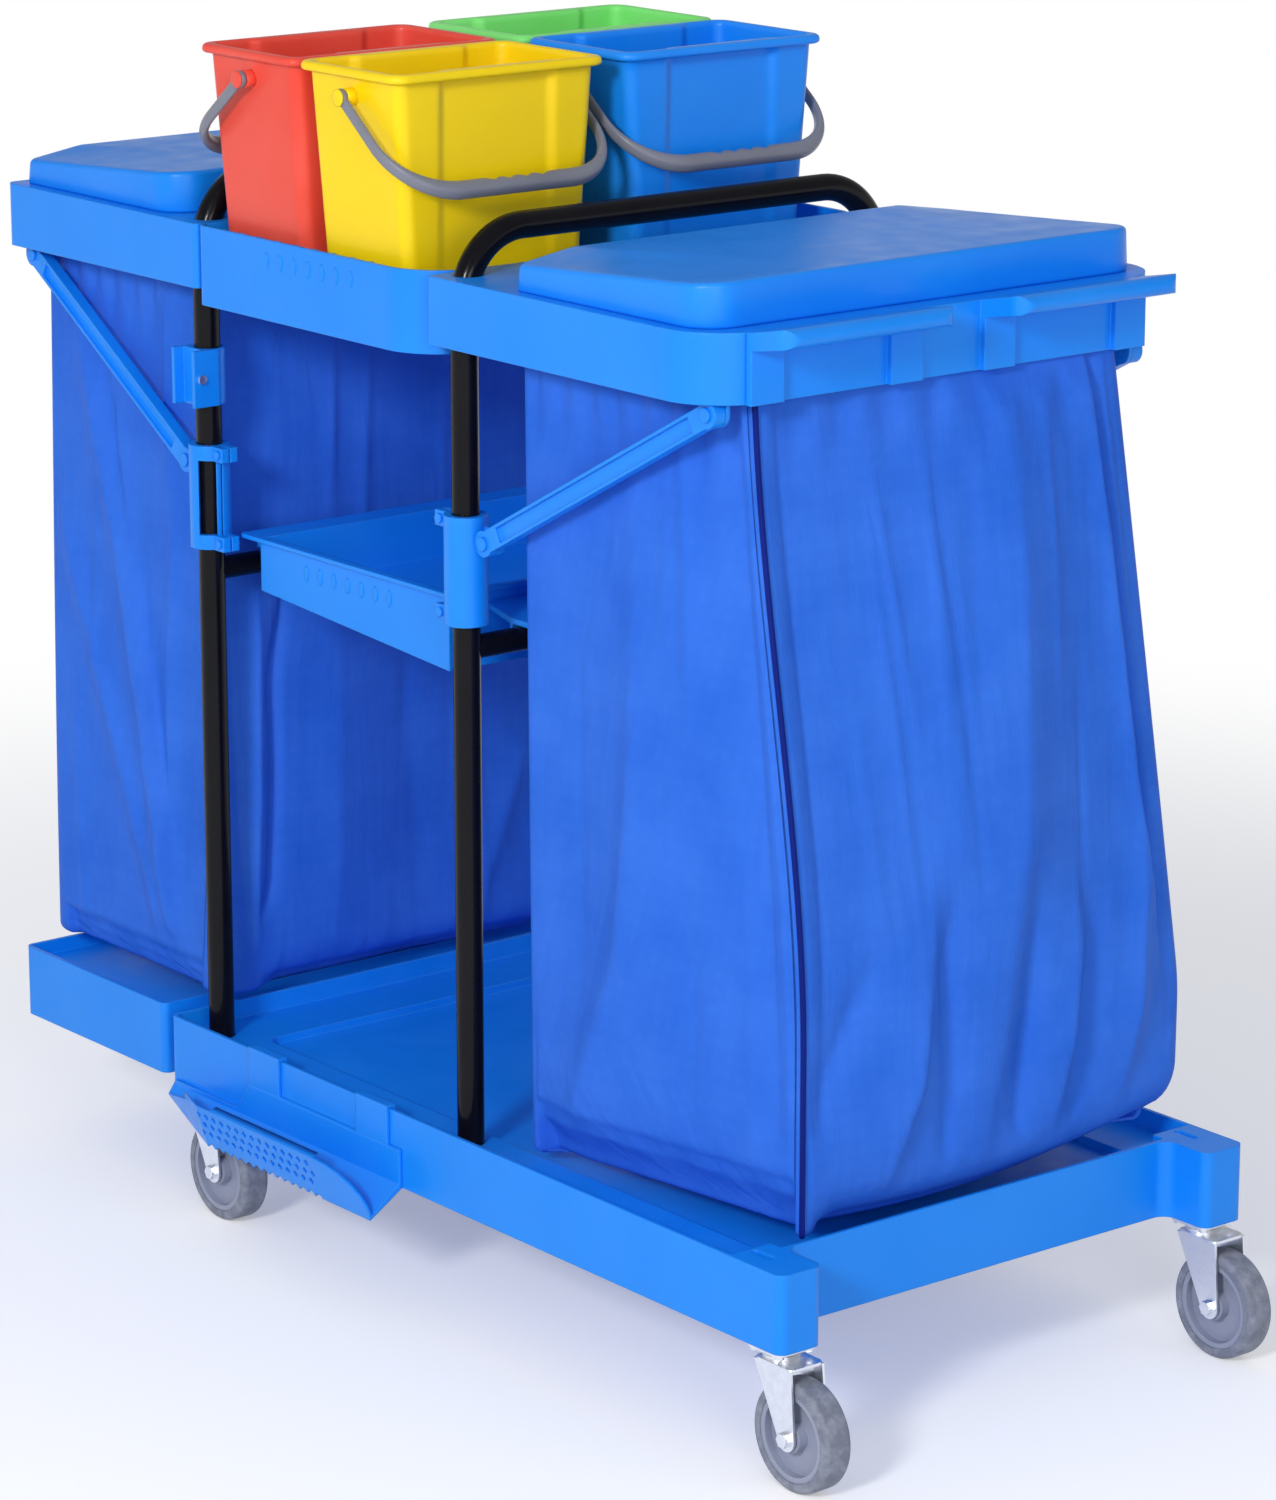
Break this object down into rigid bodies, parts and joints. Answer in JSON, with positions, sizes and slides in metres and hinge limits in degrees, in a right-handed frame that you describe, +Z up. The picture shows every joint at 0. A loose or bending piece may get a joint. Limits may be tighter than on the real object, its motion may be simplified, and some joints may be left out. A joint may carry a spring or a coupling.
{
  "type": "janitor cart",
  "caption": "Janitor cart on swivel casters with lidded bag frames, hanging cloth bags, steel arches, trays, coloured buckets with bails and a hook-on mop tray.",
  "frame": {"origin": "on the floor, under the middle of the cart's outline", "axes": "+X towards the push end, -Y towards the side with the mop tray, +Z up"},
  "size_m": [1.267, 0.6, 1.1523],
  "materials": {
    "blue_plastic": "moulded",
    "bag_cloth": "coated woven cloth",
    "black_enamel": "gloss enamel",
    "zinc_steel": "zinc plated",
    "red_plastic": "moulded",
    "yellow_plastic": "moulded",
    "green_plastic": "moulded",
    "bucket_blue_plastic": "moulded",
    "grey_plastic": "moulded",
    "grey_nylon": "moulded",
    "grey_rubber": "moulded rubber"
  },
  "bodies": {
    "cart": {"base_deck": "blue_plastic", "rear_platform": "blue_plastic", "top_tray": "blue_plastic", "mid_tray": "blue_plastic", "front_bag_frame": "blue_plastic", "rear_bag_frame": "blue_plastic", "clamp_bolts": "blue_plastic", "brace_pins": "blue_plastic", "tool_clip": "blue_plastic", "front_near_brace": "blue_plastic", "front_near_clamp": "blue_plastic", "front_far_brace": "blue_plastic", "front_far_clamp": "blue_plastic", "rear_near_brace": "blue_plastic", "rear_near_clamp": "blue_plastic", "rear_far_brace": "blue_plastic", "rear_far_clamp": "blue_plastic", "front_arch": "black_enamel", "rear_arch": "black_enamel", "platform_screws": "zinc_steel", "front_hinge_pins": "zinc_steel", "rear_hinge_pins": "zinc_steel", "clip_screw": "zinc_steel", "caster_plates": "zinc_steel", "caster_bolts": "zinc_steel", "caster_kingpins": "zinc_steel", "front_bag": "bag_cloth", "rear_bag": "bag_cloth"},
    "front_lid": {"front_lid": "blue_plastic"},
    "rear_lid": {"rear_lid": "blue_plastic"},
    "mop_tray": {"mop_tray": "blue_plastic"},
    "red_bucket": {"red_bucket": "red_plastic"},
    "red_bail": {"red_bail": "grey_plastic"},
    "yellow_bucket": {"yellow_bucket": "yellow_plastic"},
    "yellow_bail": {"yellow_bail": "grey_plastic"},
    "green_bucket": {"green_bucket": "green_plastic"},
    "green_bail": {"green_bail": "grey_plastic"},
    "blue_bucket": {"blue_bucket": "bucket_blue_plastic"},
    "blue_bail": {"blue_bail": "grey_plastic"},
    "front_near_caster": {"front_near_fork": "zinc_steel", "front_near_axle": "zinc_steel"},
    "front_near_wheel": {"front_near_hub": "grey_nylon", "front_near_tyre": "grey_rubber"},
    "front_far_caster": {"front_far_fork": "zinc_steel", "front_far_axle": "zinc_steel"},
    "front_far_wheel": {"front_far_hub": "grey_nylon", "front_far_tyre": "grey_rubber"},
    "rear_near_caster": {"rear_near_fork": "zinc_steel", "rear_near_axle": "zinc_steel"},
    "rear_near_wheel": {"rear_near_hub": "grey_nylon", "rear_near_tyre": "grey_rubber"},
    "rear_far_caster": {"rear_far_fork": "zinc_steel", "rear_far_axle": "zinc_steel"},
    "rear_far_wheel": {"rear_far_hub": "grey_nylon", "rear_far_tyre": "grey_rubber"}
  },
  "joints": [
    {"name": "front_lid_hinge", "type": "hinge", "parent": "cart", "child": "front_lid", "pos_m": [0.1765, 0.025, 0.9886], "axis": [0, -1, 0], "range_deg": [0, 90]},
    {"name": "rear_lid_hinge", "type": "hinge", "parent": "cart", "child": "rear_lid", "pos_m": [-0.6152, 0.025, 0.9886], "axis": [0, -1, 0], "range_deg": [0, 100]},
    {"name": "red_bucket_lift", "type": "slide", "parent": "cart", "child": "red_bucket", "axis": [0, 0, 1], "range_m": [0, 0.3]},
    {"name": "red_bail_hinge", "type": "hinge", "parent": "red_bucket", "child": "red_bail", "pos_m": [-0.203, -0.1205, 1.1263], "axis": [0, 1, 0], "range_deg": [0, 160]},
    {"name": "yellow_bucket_lift", "type": "slide", "parent": "cart", "child": "yellow_bucket", "axis": [0, 0, 1], "range_m": [0, 0.3]},
    {"name": "yellow_bail_hinge", "type": "hinge", "parent": "yellow_bucket", "child": "yellow_bail", "pos_m": [-0.044, -0.1205, 1.1263], "axis": [0, -1, 0], "range_deg": [0, 160]},
    {"name": "green_bucket_lift", "type": "slide", "parent": "cart", "child": "green_bucket", "axis": [0, 0, 1], "range_m": [0, 0.3]},
    {"name": "green_bail_hinge", "type": "hinge", "parent": "green_bucket", "child": "green_bail", "pos_m": [-0.203, 0.1385, 1.1263], "axis": [0, 1, 0], "range_deg": [0, 160]},
    {"name": "blue_bucket_lift", "type": "slide", "parent": "cart", "child": "blue_bucket", "axis": [0, 0, 1], "range_m": [0, 0.3]},
    {"name": "blue_bail_hinge", "type": "hinge", "parent": "blue_bucket", "child": "blue_bail", "pos_m": [-0.044, 0.1385, 1.1263], "axis": [0, -1, 0], "range_deg": [0, 160]},
    {"name": "front_near_swivel", "type": "hinge", "parent": "cart", "child": "front_near_caster", "pos_m": [0.5555, -0.226, 0.11], "axis": [0, 0, 1], "continuous": true},
    {"name": "front_near_wheel_spin", "type": "hinge", "parent": "front_near_caster", "child": "front_near_wheel", "pos_m": [0.5835, -0.226, 0.05], "axis": [0, 1, 0], "continuous": true},
    {"name": "front_far_swivel", "type": "hinge", "parent": "cart", "child": "front_far_caster", "pos_m": [0.5555, 0.276, 0.11], "axis": [0, 0, 1], "continuous": true},
    {"name": "front_far_wheel_spin", "type": "hinge", "parent": "front_far_caster", "child": "front_far_wheel", "pos_m": [0.5835, 0.276, 0.05], "axis": [0, 1, 0], "continuous": true},
    {"name": "rear_near_swivel", "type": "hinge", "parent": "cart", "child": "rear_near_caster", "pos_m": [-0.3135, -0.226, 0.11], "axis": [0, 0, 1], "continuous": true},
    {"name": "rear_near_wheel_spin", "type": "hinge", "parent": "rear_near_caster", "child": "rear_near_wheel", "pos_m": [-0.2855, -0.226, 0.05], "axis": [0, 1, 0], "continuous": true},
    {"name": "rear_far_swivel", "type": "hinge", "parent": "cart", "child": "rear_far_caster", "pos_m": [-0.3135, 0.276, 0.11], "axis": [0, 0, 1], "continuous": true},
    {"name": "rear_far_wheel_spin", "type": "hinge", "parent": "rear_far_caster", "child": "rear_far_wheel", "pos_m": [-0.2855, 0.276, 0.05], "axis": [0, 1, 0], "continuous": true},
    {"name": "mop_tray_lift", "type": "slide", "parent": "cart", "child": "mop_tray", "axis": [0, 0, 1], "range_m": [0, 0.04]}
  ]
}
